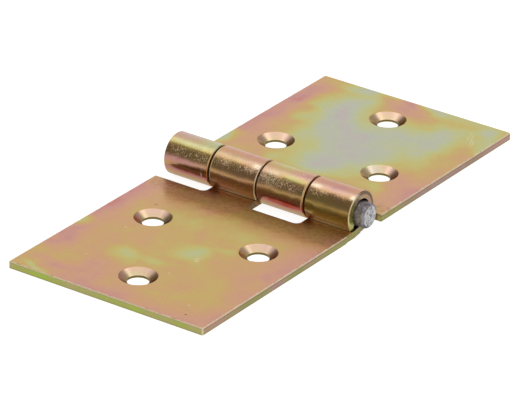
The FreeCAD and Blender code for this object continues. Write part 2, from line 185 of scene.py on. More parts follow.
BACK_LEAF_FILM = [
    ("grey_middle", (1, 38), (24, 29), 0, 0.60),
    ("grey_left_lobe", (-13.5, 56), (10, 26), 18, 0.50),
    ("tan_left_side", (-26, 58), (5, 11), 0, -0.16),
    ("grey_right_lobe", (17, 56), (13, 18), -10, 0.48),
    ("tip_by_barrel", (0, 22), (11, 10), 0, 0.26),
    ("green_right_side", (22, 42), (9, 13), 0, 0.20),
    ("green_by_barrel_left", (-14, 19), (7, 6), 0, 0.20),
    ("green_by_barrel_right", (18, 19), (8, 6), 0, 0.22),
    ("green_corner_right", (27, 66), (7, 7), 0, 0.34),
    ("grey_corner_left", (-29.5, 22), (6, 9), 0, 0.80),
    ("green_outer_end", (0, 70), (38, 5), 0, 0.45),
    ("tan_outer_notch", (0, 63), (10, 6), 0, -0.16),
    ("rose_outer_notch", (1, 68.5), (7, 3.5), 0, -0.55),
    ("tan_by_right_hole", (22, 28), (9, 8), 0, -0.08),
    ("rose_left_side", (-31, 40), (12, 46), 0, -0.24),
    ("green_left_middle", (-19, 46), (5, 6), 0, 0.26),
    ("rose_right_side", (32, 22), (9, 24), 0, -0.22),
    ("tan_right_edge", (33.5, 46), (4.5, 8), 0, -0.36),
    ("green_right_edge", (29, 59), (5, 8), 0, 0.30),
]

# The same in the countersinks, whose film is drawn thinner at the rim than by the hole
FRONT_CONE_FILM = [
    ("left_far_pink", (-18.0, -25.0), (4, 2.5), 0, -0.10),
    ("left_olive", (-12.5, -26.8), (3, 3.5), 0, 0.55),
    ("left_rust", (-19.5, -30.4), (3, 3), 0, -0.26),
    ("right_far_pink", (17.0, -24.3), (5, 2.5), 0, -0.12),
    ("right_maroon", (20.6, -26.5), (2.6, 3), 0, -0.10),
    ("outer_olive", (1.6, -56.0), (6, 3.6), 0, 0.30),
    ("outer_rust", (-2.8, -59.2), (2.6, 2.6), 0, -0.22),
]
BACK_CONE_FILM = [
    ("left_far_pink", (-16.5, 32.3), (4, 3), 0, -0.14),
    ("outer_far_peach", (-0.7, 60), (6, 3), 0, -0.04),
    ("right_yellow", (12.2, 30.6), (4.2, 4.2), 0, 0.42),
    ("right_far_pink", (17.0, 32.0), (3.5, 3.5), 0, -0.14),
    ("right_maroon", (19.6, 29.6), (2.4, 3), 0, -0.10),
]

# The same round the knuckles: along the pin in mm, and round it in degrees up from the front
FRONT_KNUCKLE_FILM = [
    ("second_rose_top", (-8, 92), (12, 34), 0, -0.17),
    ("second_tan_front", (-8, -14), (12, 38), 0, -0.06),
    ("fourth_rose_top", (22, 82), (14, 34), 0, -0.15),
    ("fourth_olive_front", (22, 0), (12, 60), 0, 0.12),
]
BACK_KNUCKLE_FILM = [
    ("first_pale_crest", (-25, 62), (12, 20), 0, 0.24),
    ("first_mauve_top", (-26, 100), (8, 34), 0, -0.20),
    ("first_olive_top", (-17, 92), (7, 50), 0, 0.36),
    ("first_rose_front", (-26, 13), (16, 17), 0, -0.27),
    ("first_rust_below", (-20, -16), (15, 18), 0, -0.34),
    ("third_red_front", (9.5, -14), (17, 24), 0, -0.52),
    ("third_rose_below", (7.5, -42), (11, 16), 0, -0.12),
    ("third_green_top", (6, 104), (12, 34), 0, 0.20),
    ("third_green_crest", (11, 58), (6, 16), 0, 0.30),
    ("third_rose_top", (12, 82), (6, 26), 0, -0.20),
]

# Where the roller has scuffed the knuckles, in the same measure
FRONT_KNUCKLE_WEAR = [
    ("second_left", (-12, 45), (5, 30), 0, 0.8),
    ("second_right", (-2.5, 48), (5, 26), 0, 0.9),
    ("second_middle", (-7, 42), (8, 18), 0, 0.7),
    ("fourth_left", (18, 44), (6, 20), 0, 0.7),
    ("fourth_middle", (24, 50), (9, 12), 0, 0.5),
]
BACK_KNUCKLE_WEAR = [
    ("first_left", (-25, 38), (9, 32), 0, 0.8),
    ("first_right", (-17, 36), (6, 34), 0, 0.8),
    ("third_left", (3, 44), (6, 38), 0, 1.25),
    ("third_right", (9, 36), (10, 30), 0, 0.9),
    ("third_top_right", (11.5, 84), (2.2, 9), 0, 0.9),
]

# Creases, scratches and scuffs that are rubbed bright, and painted highlights: glints at the ends of
# knuckles, light lines along the lips, and pale bands low on the front that are painted reflections
FRONT_KNUCKLE_RUBBED_AND_GLINTS = [
    ("second_low_band", (-7.4, -14), (14, 32), 0, 0.26),
    ("second_crease", (-9.4, -21), (11, 2.4), 0, 0.9),
    ("second_lip", (-7.4, -32), (13, 12), 0, 0.56),
    ("second_lip_edge", (-7.4, -34.5), (13, 3.2), 0, 0.9),
    ("second_right_end", (-1.4, 59), (2.2, 13), 0, 1.5),
    ("fourth_low_band", (22, -18), (14, 32), 0, 0.20),
    ("fourth_crease", (22, -21), (13, 2.4), 0, 0.8),
    ("fourth_lip", (22, -32), (13, 12), 0, 0.50),
    ("fourth_lip_edge", (22, -34.5), (13, 3.2), 0, 0.9),
    ("fourth_left_end", (17.0, 62), (3.0, 12), 0, 1.0),
    ("fourth_right_end", (28.5, 58), (1.5, 13), 0, 1.3),
]
BACK_KNUCKLE_RUBBED_AND_GLINTS = [
    ("first_rose_band", (-25, 14), (14, 12), 0, 0.26),
    ("first_ring", (-17.1, -2), (0.32, 26), 0, 1.2),
    ("first_glint", (-25, 0), (1.4, 1.8), 0, 1.0),
    ("third_left_end", (3.6, 57), (4.0, 11), 0, 0.8),
    ("third_scuffs", (3.5, 40), (4.2, 24), 0, 0.42),
]

# Painted shade where a knuckle meets its slot, and a faint band of it across the front of the fourth knuckle
FRONT_KNUCKLE_PAINTED_SHADE = [
    ("second_by_slot", (-13.6, -26), (3.0, 18), 0, 2.2),
    ("fourth_by_slot", (15.8, -26), (3.0, 18), 0, 2.2),
    ("fourth_band", (22, 15), (13, 10), 0, 0.40),
]
BACK_KNUCKLE_PAINTED_SHADE = [
    ("first_above_slot", (-19, 1), (10, 6), 0, 0.5),
]

# Where the knuckles are painted greyer, in the same measure: along the crest, under the softbox's strip, it
# is a painted highlight that pales it, and on the tops of the first and third knuckles the plating's own grey
# tone
FRONT_KNUCKLE_PAINTED_HIGHLIGHT = [
    ("crest", (0, 67), (200, 20), 0, 0.34),
]
BACK_KNUCKLE_GREY_AND_HIGHLIGHT = [
    ("crest", (0, 67), (200, 20), 0, 0.30),
    ("first_top", (-24, 100), (12, 46), 0, 0.50),
    ("third_top", (7.5, 84), (12, 26), 0, 0.16),
]

# Small marks on the leaves: centre and half sizes in mm, turn in degrees, and how bright they are, or how
# dark where that is below zero
FRONT_LEAF_MARKS = [
    ("speck_1", (-18, -37), (0.45, 0.35), 0, 1.0),
    ("speck_2", (7.5, -41.5), (0.9, 0.6), 20, 1.0),
    ("splash", (7.0, -40.4), (1.5, 0.8), 20, 0.5),
    ("speck_3", (-17, -55), (0.4, 0.3), 0, 0.8),
    ("speck_4", (6, -51), (0.35, 0.35), 0, 0.8),
    ("speck_5", (20, -62), (0.5, 0.35), 40, 0.9),
    ("pit_1", (22.3, -66.5), (0.5, 0.4), 0, -1.0),
    ("pit_2", (-19.5, -22.0), (0.6, 0.35), 60, -0.9),
]
BACK_LEAF_MARKS = [
    ("scratch_1", (24.0, 60), (0.35, 6.0), 24, 0.55),
    ("scratch_2", (22.6, 61), (0.3, 4.5), 20, 0.45),
    ("scratch_3", (25.6, 58), (0.3, 4.0), 28, 0.45),
]

# Colours of the sheared faces outside, mixed by drifting streaks: the sides of each leaf, and the outer ends
# of both
FRONT_SIDE_TINTS = [(0.38, "#b08e80"), (0.47, "#a8966c"), (0.60, "#9c9660")]
BACK_SIDE_TINTS = [(0.38, "#a28c6e"), (0.50, "#aa8878"), (0.62, "#ae9084")]
END_TINTS = [(0.35, "#abbb56"), (0.50, "#aeb062"), (0.65, "#b6ac74")]

# Colours of the barrel's outer end faces, from straight below over the front to behind the top
RING_TINTS = [
    (0.00, "#948a58"),
    (0.18, "#9c9850"),
    (0.30, "#bcbc50"),
    (0.55, "#bcb860"),
    (0.66, "#b0946c"),
    (1.00, "#b08c74"),
]

# Single colours of the plating: painted shade on the walls of the countersinks, painted light on their far
# walls, cut faces with painted shade inside holes and slots, ends of the knuckles with a rim of painted
# shade, a grey that also paints the crest's highlight, bare zinc that also paints highlights, painted shade
# by the slots, and the dark of pits and of the painted shade under the lips
PAINTED_SHADE_WALLS = "#643c10"
PAINTED_SHADE_GRAZING = "#ac6420"
PAINTED_LIGHT_FAR_WALL = "#f6dcc6"
CUT_INSIDE_PAINTED_SHADE = "#7c5c38"
CUT_BY_BARREL = "#a09a5c"
CUT_BY_END = "#c29684"
CUT_LOW_EDGE = "#868c34"
END_IN_GAP = "#a4784c"
PAINTED_SHADE_RIM = "#5c4838"
GREY_AND_PAINTED_HIGHLIGHT = "#bfb4ac"
BARE_ZINC_AND_HIGHLIGHT = "#ece0c4"
FRONT_PAINTED_SHADE = "#8a5228"
BACK_PAINTED_SHADE = "#40280f"
DARK_MARKS_AND_SHADE = "#40280f"

FRONT_FINISH = {
    "film": FRONT_LEAF_FILM,
    "countersink_film": FRONT_CONE_FILM,
    "knuckle_film": FRONT_KNUCKLE_FILM,
    "side_tints": FRONT_SIDE_TINTS,
    "scuffed": FRONT_KNUCKLE_WEAR,
    "rubbed": FRONT_KNUCKLE_RUBBED_AND_GLINTS,
    "dulled": FRONT_KNUCKLE_PAINTED_HIGHLIGHT,
    "stained": FRONT_KNUCKLE_PAINTED_SHADE,
    "stain": FRONT_PAINTED_SHADE,
    "marks": FRONT_LEAF_MARKS,
}
BACK_FINISH = {
    "film": BACK_LEAF_FILM,
    "countersink_film": BACK_CONE_FILM,
    "knuckle_film": BACK_KNUCKLE_FILM,
    "side_tints": BACK_SIDE_TINTS,
    "scuffed": BACK_KNUCKLE_WEAR,
    "rubbed": BACK_KNUCKLE_RUBBED_AND_GLINTS,
    "dulled": BACK_KNUCKLE_GREY_AND_HIGHLIGHT,
    "stained": BACK_KNUCKLE_PAINTED_SHADE,
    "stain": BACK_PAINTED_SHADE,
    "marks": BACK_LEAF_MARKS,
}

# The film's thickness on a scale from 0 to 1: its usual value, how far the clouds and the patches change it,
# and the least that it has on a flat leaf
USUAL_FILM = 0.42
CLOUD_CHANGE = 0.09
MOST_THINNED = -0.42
MOST_THICKENED = 0.55
THINNEST_ON_LEAF = 0.16

# The film in a countersink: at its rim, by its hole, how much of the leaf's own film is added to that, and
# how much thinner it is on the right wall, which reddens it as part of that wall's painted shade
RIM_FILM = 0.22
HOLE_FILM = 0.46
LEAF_FILM_SHARE = 0.25
RIGHT_WALL_CHANGE = -0.08

# Sizes of the patterns in millimetres. Swirls move the borders of the film's patches, each way by up to half
# their sway. Clouds lie in the film, streaks on the sheared faces, breaks in the worn edges and blots beside
# the barrel. Dents are slow waves of the sheet.
SWIRL_SIZE = 14.2857
SWIRL_SWAY = 12.0
CLOUD_SIZE = 9.09091
STREAK_SIZE = 8.33333
BREAK_SIZE = 2.0
BLOT_SIZE = 1.11111
DENT_SIZE = 4.0

# Real scuffs from the roller are under 0.1 mm wide. So that they show, they are drawn at a quarter of a
# millimetre along the pin, and drawn out to twice that round it.
SCUFF_SIZE = 0.256410
SCUFF_STRETCH = 2.0

# Depths of the scuffs and dents in millimetres
SCUFF_DEPTH = 0.06
DENT_DEPTH = 0.18

# Strips by start, end and softness of their borders. The one that the die held beside the barrel, and the
# painted shade under a lip, are in millimetres from the pin axis. The line under the upper edge is in
# millimetres of height, the worn line at a knuckle's end, which is also a painted highlight, in millimetres
# from the middle of a gap, and the crest in degrees up from the front.
DIE_STRIP = (5, 11, 5)
PAINTED_SHADE_UNDER_LIP = (4.3, 4.95, 0.25)
UNDER_EDGE = (SHEET_THICKNESS - 0.5, SHEET_THICKNESS - 0.35, 0.1)
KNUCKLE_END_LINE = (KNUCKLE_GAP / 2, KNUCKLE_GAP / 2 + 0.14, 0.04)
CREST = (54, 80, 12)

# How level a countersink's wall lies, as the upward part of its normal, and two directions that tell its
# sides
SINK_LEVEL = (0.815, 0.865, 0.02)
TO_FRONT = (0.57, -0.82, 0.0)
TO_LEFT = (-0.82, -0.57, 0.0)

# Borders of masks on the sheet: where each starts to rise and where it is full, with its levels where they
# are not 0 and 1. Places are in millimetres along the pin, from its axis, or above the underside. Those of
# the worn rim with its painted highlight, with its breaks added, and of the worn corner with its painted
# highlight are in millimetres past the leaf's edges.
NEAR_AXIS = {"From Min": BARREL_RADIUS + 0.8, "From Max": BARREL_RADIUS + 0.4}
OUTSIDE_OF_ROLL = {"From Min": BARREL_RADIUS - 0.5, "From Max": BARREL_RADIUS - 0.3}
RING_RIM_SHADE = {"From Min": BARREL_RADIUS - 1.1, "From Max": BARREL_RADIUS - 0.7, "To Max": 0.85}
BARREL_RIM_SHADE = {"From Min": LAST_KNUCKLE_END - 0.30, "From Max": LAST_KNUCKLE_END - 0.18, "To Max": 0.7}
OUTER_SIDE = {"From Min": LAST_KNUCKLE_END - 0.5, "From Max": LAST_KNUCKLE_END - 0.2}
OUTER_END = {"From Min": LEAF_REACH - 0.7, "From Max": LEAF_REACH - 0.4}
PAST_LIP = {"From Min": 5.6, "From Max": 8.0}
BY_BARREL = {"From Min": 21.0, "From Max": 15.0}
BY_END = {"From Min": 52.0, "From Max": 64.0, "To Max": 0.6}
UPPER_HALF = {"From Min": SHEET_THICKNESS - 1.1, "From Max": SHEET_THICKNESS - 0.3}
NEAR_TOP = {"From Min": SHEET_THICKNESS - 0.30, "From Max": SHEET_THICKNESS - 0.15}
LOW_EDGE = {"From Min": 0.45, "From Max": 0.15, "To Max": 0.6}
DOWN_THE_SINK = {"From Min": SHEET_THICKNESS - 0.1, "From Max": SHEET_THICKNESS - 1.3,
                 "To Min": RIM_FILM, "To Max": HOLE_FILM}
WORN_AND_HIGHLIT_RIM = {"From Min": 0.12, "From Max": 0.24}
WORN_AND_HIGHLIT_CORNER = {"From Min": -0.40, "From Max": -0.25}

# Borders round the knuckles, in degrees up from the front
OVER_TOP = {"From Min": 50, "From Max": 75}
NOT_OVER_TOP = {"From Min": 88, "From Max": 66, "To Min": 0.15}
NOT_BELOW = {"From Min": -42, "From Max": -14}
BELOW_FRONT = {"From Min": 0, "From Max": -12, "To Max": 2.0}
ROUND_RING = {"From Min": -90, "From Max": 150}

# Borders between faces by their normals: the part upwards, the part along the pin, and the parts to the left
# and to the front
STANDING = {"From Min": 0.6, "From Max": 0.4}
ALONG_PIN = {"From Min": 0.85, "From Max": 0.95}
RIGHT_WALL = {"From Min": 0.10, "From Max": 0.42}
LEFT_WALL = {"From Min": -0.12, "From Max": -0.42, "To Max": 0.20}
FAR_WALL = {"From Min": 0.05, "From Max": 0.42, "To Min": 0.06, "To Max": 0.50}

# How much of a noise pattern shows, and how strongly
CLOUDS = {"From Min": 0.3, "From Max": 0.7,
          "To Min": USUAL_FILM - CLOUD_CHANGE, "To Max": USUAL_FILM + CLOUD_CHANGE}
BROKEN = {"From Min": 0.36, "From Max": 0.56, "To Min": 0.35}
UNEVEN = {"From Min": 0.34, "From Max": 0.56, "To Min": 0.2}
FLECKS = {"From Min": 0.68, "From Max": 0.78, "To Max": 0.65}
BLOTS = {"From Min": 0.45, "From Max": 0.62, "To Max": 0.30}

# Strengths from 0 to 1: how brown the painted shade makes the right walls, how much likelier flecks are where
# it is scuffed, how far worn places and painted highlights go towards zinc, and how dark the line under the
# upper edge is on the sides and on the outer end
RIGHT_WALL_PAINTED_SHADE = 0.56
SCUFFED_GAIN = 0.20
WORN_AND_HIGHLIT = 0.75
UNDER_EDGE_ON_SIDES = 0.35
UNDER_EDGE_ON_END = 0.10

# How far breaks move the worn rim and its painted highlight, in millimetres
RIM_WANDER = 0.9

# How much of the scuffs' depth is left on plain sheet and on the crest, and of the dents' depth on the leaf
SCUFFS_ON_SHEET = 0.08
SCUFFS_ON_CREST = 0.7
DENTS_ON_LEAF = 0.25

# Roughness of the plating, of the die's strip, and of worn places
SATIN = 0.23
SATIN_IN_STRIP = 0.36
NEARLY_MATT = 0.65


class Sockets:
    """Sockets of one tree, each kept under a name of its own."""


def lay_out(tree):
    """Where a point of a leaf lies, in mm and degrees, and masks of the parts of the sheet it belongs to."""
    at = Sockets()
    at.place = place_in_mm(tree)
    at.x, at.y, at.z = add(tree, "SeparateXYZ", {0: at.place}).outputs
    at.along = add(tree, "Math", {0: at.x}, operation="ABSOLUTE")
    at.across = add(tree, "Math", {0: at.y}, operation="ABSOLUTE")

    # Round the pin: the distance from its axis, and the angle up from the front
    up = add(tree, "Math", {0: at.z, 1: BARREL_RADIUS}, operation="SUBTRACT")
    front = add(tree, "Math", {0: at.y, 1: -1.0}, operation="MULTIPLY")
    from_axis = add(tree, "CombineXYZ", {"Y": at.y, "Z": up})
    at.distance = add(tree, "VectorMath", {0: from_axis}, operation="LENGTH").outputs["Value"]
    at.angle = add(tree, "Math", {0: up, 1: front}, operation="ARCTAN2")
    at.degrees = add(tree, "Math", {0: at.angle}, operation="DEGREES")
    at.unrolled = add(tree, "CombineXYZ", {"X": at.x, "Y": at.degrees})
    at.over_top = add(tree, "MapRange", {"Value": at.degrees, **OVER_TOP})

    # Knuckles are everything close to the pin axis, and upper faces lie above the middle of the sheet
    at.knuckle = add(tree, "MapRange", {"Value": at.distance, **NEAR_AXIS})
    at.leaf = add(tree, "Math", {0: 1.0, 1: at.knuckle}, operation="SUBTRACT")
    at.upper = add(tree, "MapRange", {"Value": at.z, **UPPER_HALF})
    at.outer_side = add(tree, "MapRange", {"Value": at.along, **OUTER_SIDE})
    at.outer_end = add(tree, "MapRange", {"Value": at.across, **OUTER_END})
    return at


def tell_faces(tree, at):
    """Adds masks of the faces by the way they look. Sheared faces stand upright, the walls of countersinks
    lean, and the end faces of knuckles look along the pin."""
    normal = add(tree, "TexCoord").outputs["Normal"]
    facing = add(tree, "SeparateXYZ", {0: normal})
    level = add(tree, "Math", {0: facing.outputs["Z"]}, operation="ABSOLUTE")
    endwise = add(tree, "Math", {0: facing.outputs["X"]}, operation="ABSOLUTE")
    at.upright = add(tree, "MapRange", {"Value": level, **STANDING})
    at.sheared = overlap(tree, at.upright, at.leaf)
    at.countersink = overlap(tree, window(tree, level, *SINK_LEVEL), at.leaf)
    along_pin = add(tree, "MapRange", {"Value": endwise, **ALONG_PIN})
    at.end_face = overlap(tree, along_pin, at.knuckle)
    at.to_left = add(tree, "VectorMath", {0: normal, 1: TO_LEFT}, operation="DOT_PRODUCT").outputs["Value"]
    at.to_front = add(tree, "VectorMath", {0: normal, 1: TO_FRONT}, operation="DOT_PRODUCT").outputs["Value"]
    at.right_wall = add(tree, "MapRange", {"Value": at.to_left, **RIGHT_WALL})


def sheet_film(tree, at, finish):
    """The film's thickness on leaf and knuckles: clouds, with the soft patches of one leaf over them."""
    swirls = add(tree, "TexNoise", {"Vector": at.place, "Scale": 1 / SWIRL_SIZE, "Detail": 1.0})
    centred = add(tree, "VectorMath", {0: swirls.outputs["Color"], 1: (0.5, 0.5, 0.5)}, operation="SUBTRACT")
    shift = add(tree, "VectorMath", {0: centred, 3: SWIRL_SWAY}, operation="SCALE")
    wandering = add(tree, "VectorMath", {0: at.place, 1: shift}, operation="ADD")
    on_leaf = overlap(tree, oval_patches(tree, wandering, finish["film"]), at.upper)
    on_knuckle = oval_patches(tree, at.unrolled, finish["knuckle_film"])
    patches = add(tree, "Mix", {0: at.knuckle, 2: on_leaf, 3: on_knuckle}, data_type="FLOAT")
    patches = add(tree, "Clamp", {"Value": patches, "Min": MOST_THINNED, "Max": MOST_THICKENED})
    clouds = add(tree, "TexNoise", {"Vector": at.place, "Scale": 1 / CLOUD_SIZE, "Detail": 3.0,
                                    "Roughness": 0.55})
    clouds = add(tree, "MapRange", {"Value": clouds, **CLOUDS})
    film = add(tree, "Math", {0: clouds, 1: patches}, operation="ADD")
    thinnest = add(tree, "MapRange", {"Value": at.knuckle, "To Min": THINNEST_ON_LEAF, "To Max": 0.0})
    return union(tree, film, thinnest)


def film_thickness(tree, at, finish):
    """The film's thickness everywhere. In a countersink it is thin at the rim and thicker by the hole."""
    film = sheet_film(tree, at, finish)
    in_sink = add(tree, "MapRange", {"Value": at.z, **DOWN_THE_SINK})
    in_sink = add(tree, "Math", {0: film, 1: LEAF_FILM_SHARE, 2: in_sink}, operation="MULTIPLY_ADD")
    patches = oval_patches(tree, at.place, finish["countersink_film"])
    in_sink = add(tree, "Math", {0: in_sink, 1: patches}, operation="ADD")
    in_sink = add(tree, "Math", {0: at.right_wall, 1: RIGHT_WALL_CHANGE, 2: in_sink},
                  operation="MULTIPLY_ADD")
    return add(tree, "Mix", {0: at.countersink, 2: film, 3: in_sink}, data_type="FLOAT")


def painted_shade_on_walls(tree, at):
    """Painted shade that makes the right walls of the countersinks browner, and a little of their left ones.
    """
    left_wall = add(tree, "MapRange", {"Value": at.to_left, **LEFT_WALL})
    walls = add(tree, "Math", {0: at.right_wall, 1: RIGHT_WALL_PAINTED_SHADE, 2: left_wall}, operation="MULTIPLY_ADD")
    return overlap(tree, walls, at.countersink)


def painted_light_on_far_walls(tree, at):
    """Painted light on the far walls of the countersinks, which look to the front and are painted paler."""
    far_wall = add(tree, "MapRange", {"Value": at.to_front, **FAR_WALL})
    return overlap(tree, far_wall, at.countersink)


def cut_tint(tree, at, finish):
    """Sheared faces: brown with painted shade in holes and slots, tan to pink on the leaf's sides, olive
    beside the barrel, and yellow-green on the outer end. Lower edges are greener."""
    streaks = add(tree, "TexNoise", {"Vector": at.place, "Scale": 1 / STREAK_SIZE, "Detail": 3.0})
    side = add(tree, "ValToRGB", {"Fac": streaks}, bands=finish["side_tints"])
    end = add(tree, "ValToRGB", {"Fac": streaks}, bands=END_TINTS)
    by_barrel = add(tree, "MapRange", {"Value": at.across, **BY_BARREL})
    by_end = add(tree, "MapRange", {"Value": at.across, **BY_END})
    outside = painted(tree, side, [(by_barrel, CUT_BY_BARREL), (by_end, CUT_BY_END), (at.outer_end, end)])
    outer = union(tree, at.outer_side, at.outer_end)
    low_edge = add(tree, "MapRange", {"Value": at.z, **LOW_EDGE})
    return painted(tree, colour(CUT_INSIDE_PAINTED_SHADE), [(outer, outside), (low_edge, CUT_LOW_EDGE)])


def knuckle_end_tint(tree, at):
    """End faces of the knuckles: tan in the gaps, and a ring of changing colours at both ends of the barrel,
    with a rim of painted shade over the top."""
    turned = add(tree, "MapRange", {"Value": at.degrees, **ROUND_RING})
    ring = add(tree, "ValToRGB", {"Fac": turned}, bands=RING_TINTS)
    rim_shade = add(tree, "MapRange", {"Value": at.distance, **RING_RIM_SHADE})
    ring = painted(tree, ring, [(overlap(tree, rim_shade, at.over_top), PAINTED_SHADE_RIM)])
    return painted(tree, colour(END_IN_GAP), [(at.outer_side, ring)])


def painted_shade_on_barrel_rim(tree, at):
    """Painted shade on the rounded edge over the top of the barrel's two ends, as dark as the rim of the end
    face.
    """
    rim = add(tree, "MapRange", {"Value": at.along, **BARREL_RIM_SHADE})
    not_face = add(tree, "Math", {0: 1.0, 1: at.end_face}, operation="SUBTRACT")
    return overlap(tree, rim, at.over_top, at.knuckle, not_face)


def worn_and_highlit_sheet_edges(tree, at, breaks):
    """The upper edges and corners of the leaf, worn pale in an uneven line that also paints a highlight along
    them.
    """
    past_side = add(tree, "Math", {0: at.along, 1: LEAF_HALF_LENGTH}, operation="SUBTRACT")
    past_end = add(tree, "Math", {0: at.across, 1: LEAF_REACH}, operation="SUBTRACT")
    past_edge = union(tree, past_side, past_end)
    past_both = add(tree, "Math", {0: past_side, 1: past_end}, operation="MINIMUM")
    uneven = add(tree, "Math", {0: breaks, 1: RIM_WANDER, 2: past_edge}, operation="MULTIPLY_ADD")
    rim = add(tree, "MapRange", {"Value": uneven, **WORN_AND_HIGHLIT_RIM})
    near_top = add(tree, "MapRange", {"Value": at.z, **NEAR_TOP})
    corner = add(tree, "MapRange", {"Value": past_both, **WORN_AND_HIGHLIT_CORNER})
    return overlap(tree, union(tree, overlap(tree, rim, near_top), corner), at.leaf)


def worn_and_highlit_knuckle_ends(tree, at, breaks):
    """Both ends of every knuckle, worn pale with a painted highlight in a broken line that fades over the top
    and below.
    """
    from_gap = add(tree, "Math", {0: at.x, 1: KNUCKLE_PITCH / 2}, operation="PINGPONG")
    line = window(tree, from_gap, *KNUCKLE_END_LINE)
    outside = add(tree, "MapRange", {"Value": at.distance, **OUTSIDE_OF_ROLL})
    not_over_top = add(tree, "MapRange", {"Value": at.degrees, **NOT_OVER_TOP})
    not_below = add(tree, "MapRange", {"Value": at.degrees, **NOT_BELOW})
    broken = add(tree, "MapRange", {"Value": breaks, **BROKEN})
    return overlap(tree, line, outside, not_over_top, not_below, broken, at.knuckle)


def wear_and_marks(tree, at, finish):
    """What rolling and handling left on one leaf: the grain of the scuffs, and masks of each kind of wear."""
    wear = Sockets()
    arc = add(tree, "Math", {0: at.angle, 1: BARREL_RADIUS / SCUFF_STRETCH}, operation="MULTIPLY")
    round_pin = add(tree, "CombineXYZ", {"X": at.x, "Y": arc, "Z": at.distance})
    wear.scuffs = add(tree, "TexNoise", {"Vector": round_pin, "Scale": 1 / SCUFF_SIZE, "Detail": 2.0,
                                         "Roughness": 0.65})
    scuffed = oval_patches(tree, at.unrolled, finish["scuffed"])
    wear.scuffed = overlap(tree, scuffed, at.knuckle, use_clamp=True)
    likely = add(tree, "Math", {0: wear.scuffed, 1: SCUFFED_GAIN, 2: wear.scuffs}, operation="MULTIPLY_ADD")
    wear.flecks = add(tree, "MapRange", {"Value": likely, **FLECKS})

    # Creases, rubbed spots and the painted glints are broken up by the scuffs
    uneven = add(tree, "MapRange", {"Value": wear.scuffs, **UNEVEN})
    wear.rubbed = overlap(tree, oval_patches(tree, at.unrolled, finish["rubbed"]), at.knuckle, uneven)

    breaks = add(tree, "TexNoise", {"Vector": at.place, "Scale": 1 / BREAK_SIZE, "Detail": 4.0,
                                    "Roughness": 0.65})
    wear.edges = union(tree, worn_and_highlit_sheet_edges(tree, at, breaks), worn_and_highlit_knuckle_ends(tree, at, breaks))
    wear.marks = overlap(tree, oval_patches(tree, at.place, finish["marks"]), at.upper)
    dulled = oval_patches(tree, at.unrolled, finish["dulled"])
    wear.dulled = overlap(tree, dulled, at.knuckle, use_clamp=True)
    stained = oval_patches(tree, at.unrolled, finish["stained"])
    wear.stained = overlap(tree, stained, at.knuckle, use_clamp=True)
    wear.die_strip = overlap(tree, window(tree, at.across, *DIE_STRIP), at.leaf, at.upper)
    return wear


def worn_and_highlit_places(tree, wear):
    """Where the film is worn through to the zinc, with painted highlights among it: flecks, edges, worn
    creases and glints, specks and scratches.
    """
    pale = union(tree, wear.flecks, wear.edges, wear.rubbed)
    pale = union(tree, pale, wear.marks, use_clamp=True)
    return add(tree, "MapRange", {"Value": pale, "To Max": WORN_AND_HIGHLIT})


def dark_marks_and_shade(tree, at, wear):
    """Blots in the die's strip, a line under the upper edge of cut faces, painted shade on the leaf under a
    lip, and pits.
    """
    blots = add(tree, "TexNoise", {"Vector": at.place, "Scale": 1 / BLOT_SIZE, "Detail": 4.0,
                                   "Roughness": 0.7})
    blots = add(tree, "MapRange", {"Value": blots, **BLOTS})
    blots = overlap(tree, blots, wear.die_strip)
    strength = add(tree, "MapRange", {"Value": at.outer_end, "To Min": UNDER_EDGE_ON_SIDES,
                                      "To Max": UNDER_EDGE_ON_END})
    under_edge = overlap(tree, window(tree, at.z, *UNDER_EDGE), at.sheared, strength)
    lying = add(tree, "Math", {0: 1.0, 1: at.upright}, operation="SUBTRACT")
    shade_under_lip = overlap(tree, window(tree, at.across, *PAINTED_SHADE_UNDER_LIP), at.leaf, at.upper, lying)
    pits = add(tree, "Math", {0: wear.marks, 1: -1.0}, operation="MULTIPLY", use_clamp=True)
    return union(tree, blots, under_edge, shade_under_lip, pits)


def plating_roughness(tree, at, wear):
    """Satin, coarser in the die's strip, and nearly matt at worn places, in creases and in the gaps."""
    past_lip = add(tree, "MapRange", {"Value": at.across, **PAST_LIP})
    strip = overlap(tree, wear.die_strip, past_lip)
    satin = add(tree, "MapRange", {"Value": strip, "To Min": SATIN, "To Max": SATIN_IN_STRIP})
    below = add(tree, "MapRange", {"Value": at.degrees, **BELOW_FRONT})
    creases = overlap(tree, wear.rubbed, below, use_clamp=True)
    not_outside = add(tree, "Math", {0: 1.0, 1: at.outer_side}, operation="SUBTRACT")
    in_gap = overlap(tree, not_outside, at.end_face)
    matt = union(tree, wear.flecks, wear.marks, use_clamp=True)
    matt = union(tree, matt, wear.edges, creases, in_gap)
    return add(tree, "MapRange", {"Value": matt, "To Min": satin, "To Max": NEARLY_MATT})


def plating_relief(tree, at, wear):
    """Scuffs where the sheet was worked, over slow dents that bend the highlights of the knuckles."""
    crest = overlap(tree, window(tree, at.degrees, *CREST), at.knuckle)
    crest = add(tree, "MapRange", {"Value": crest, "To Max": SCUFFS_ON_CREST})
    worked = union(tree, wear.scuffed, wear.die_strip, crest)
    strength = add(tree, "MapRange", {"Value": worked, "To Min": SCUFFS_ON_SHEET, "To Max": 1.0})
    scuffs = overlap(tree, wear.scuffs, strength)
    dents = add(tree, "TexNoise", {"Vector": at.place, "Scale": 1 / DENT_SIZE, "Detail": 1.0})
    strength = add(tree, "MapRange", {"Value": at.knuckle, "To Min": DENTS_ON_LEAF, "To Max": 1.0})
    dents = overlap(tree, dents, strength)
    fine = add(tree, "Bump", {"Height": scuffs, "Strength": 1.0, "Distance": SCUFF_DEPTH * MM})
    return add(tree, "Bump", {"Height": dents, "Strength": 1.0, "Distance": DENT_DEPTH * MM, "Normal": fine})


